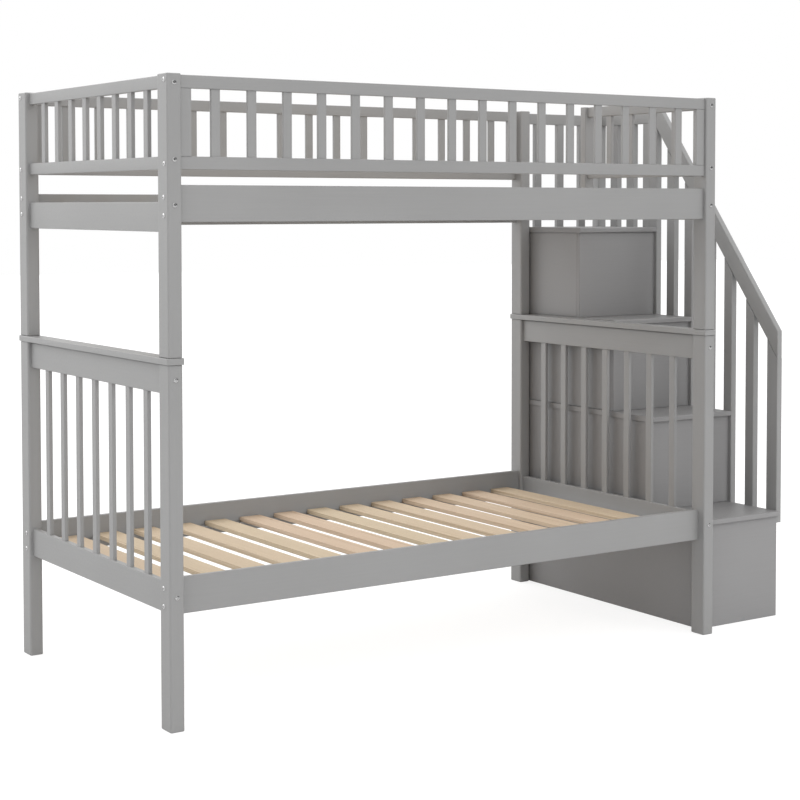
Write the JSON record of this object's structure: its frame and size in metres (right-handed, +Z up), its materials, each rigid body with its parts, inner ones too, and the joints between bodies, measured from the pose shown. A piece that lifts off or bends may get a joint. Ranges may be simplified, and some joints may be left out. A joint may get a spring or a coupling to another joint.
{
  "type": "bunk bed",
  "caption": "Bunk bed in grey painted pine with slatted bases, slatted guards on both bunks' ends and a boxed storage staircase with a sloped handrail at one end.",
  "frame": {"origin": "on the floor, under the centre of the overall box", "axes": "+X along the bed towards the staircase, +Y from the front to the back, +Z up"},
  "size_m": [2.408, 1.088, 1.801],
  "materials": {
    "grey_painted_pine": "satin grey paint over planed pine",
    "natural_pine": "planed and left bare",
    "zinc_steel": "bright zinc plate"
  },
  "bodies": {
    "root": {"back_guard_lower_rail": "grey_painted_pine", "back_guard_slats": "grey_painted_pine", "back_guard_top_rail": "grey_painted_pine", "barrel_nuts": "zinc_steel", "cap_pins": "zinc_steel", "entry_guard_lower_rail": "grey_painted_pine", "entry_guard_slats": "grey_painted_pine", "entry_guard_top_rail": "grey_painted_pine", "entry_stile": "grey_painted_pine", "front_guard_lower_rail": "grey_painted_pine", "front_guard_slats": "grey_painted_pine", "front_guard_top_rail": "grey_painted_pine", "guard_stiles": "grey_painted_pine", "left_cap_board": "grey_painted_pine", "lower_back_side_rail": "grey_painted_pine", "lower_bed_slats": "natural_pine", "lower_front_side_rail": "grey_painted_pine", "lower_left_bottom_rail": "grey_painted_pine", "lower_left_spindles": "grey_painted_pine", "lower_left_top_rail": "grey_painted_pine", "lower_post_back_left": "grey_painted_pine", "lower_post_back_right": "grey_painted_pine", "lower_post_front_left": "grey_painted_pine", "lower_post_front_right": "grey_painted_pine", "lower_right_bottom_rail": "grey_painted_pine", "lower_right_spindles": "grey_painted_pine", "lower_right_top_rail": "grey_painted_pine", "lower_slat_cleats": "grey_painted_pine", "rail_bolts": "zinc_steel", "right_cap_board": "grey_painted_pine", "stair_aprons": "grey_painted_pine", "stair_back_rail": "grey_painted_pine", "stair_balusters": "grey_painted_pine", "stair_bottom_board": "grey_painted_pine", "stair_corner_post": "grey_painted_pine", "stair_dividers": "grey_painted_pine", "stair_end_panels": "grey_painted_pine", "stair_handrail": "grey_painted_pine", "stair_inner_sides": "grey_painted_pine", "stair_landing_rail": "grey_painted_pine", "stair_landing_slats": "grey_painted_pine", "stair_newel": "grey_painted_pine", "stair_risers": "grey_painted_pine", "stair_tread_1": "grey_painted_pine", "stair_tread_2": "grey_painted_pine", "stair_tread_3": "grey_painted_pine", "stair_tread_4": "grey_painted_pine", "upper_back_side_rail": "grey_painted_pine", "upper_bed_slats": "natural_pine", "upper_front_side_rail": "grey_painted_pine", "upper_left_deck_rail": "grey_painted_pine", "upper_left_guard_rail": "grey_painted_pine", "upper_left_spindles": "grey_painted_pine", "upper_left_top_rail": "grey_painted_pine", "upper_post_back_left": "grey_painted_pine", "upper_post_back_right": "grey_painted_pine", "upper_post_front_left": "grey_painted_pine", "upper_post_front_right": "grey_painted_pine", "upper_right_deck_rail": "grey_painted_pine", "upper_slat_cleats": "grey_painted_pine"}
  },
  "joints": []
}
